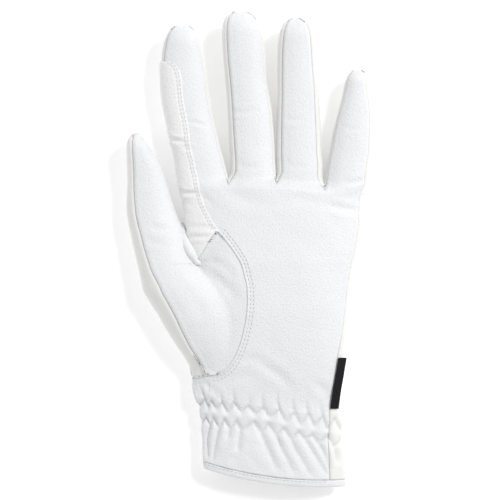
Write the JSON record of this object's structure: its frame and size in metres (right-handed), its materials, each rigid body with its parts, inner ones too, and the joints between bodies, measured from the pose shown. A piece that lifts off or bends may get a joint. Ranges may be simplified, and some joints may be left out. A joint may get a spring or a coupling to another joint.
{
  "type": "horse riding glove",
  "caption": "Left riding glove in thin white leather, palm up, with a patch over the index finger, an elastic wrist and a bound hem.",
  "frame": {"origin": "on the floor under the middle of the palm, on the flat underside of the back of the hand", "axes": "+Y towards the fingertips, -X towards the thumb, +Z out of the palm, up from the floor that the glove lies on"},
  "size_m": [0.1278, 0.2459, 0.022],
  "materials": {
    "palm_leather": "soft fine-grained synthetic leather, cool white, satin",
    "back_leather": "soft synthetic leather, warm white, matt satin",
    "patch_leather": "soft fine-grained synthetic leather, white, satin",
    "binding_leather": "narrow folded leather binding, white, satin",
    "ribbon": "black woven ribbon, slightly shiny",
    "thread": "white sewing thread"
  },
  "bodies": {
    "root": {"palm_panel": "palm_leather", "back_panel": "back_leather", "thumb_front": "palm_leather", "thumb_back": "back_leather", "fourchette_index_middle": "back_leather", "fourchette_middle_ring": "back_leather", "fourchette_ring_little": "back_leather", "rein_patch": "patch_leather", "cuff_binding": "binding_leather", "side_label": "ribbon"}
  },
  "joints": []
}
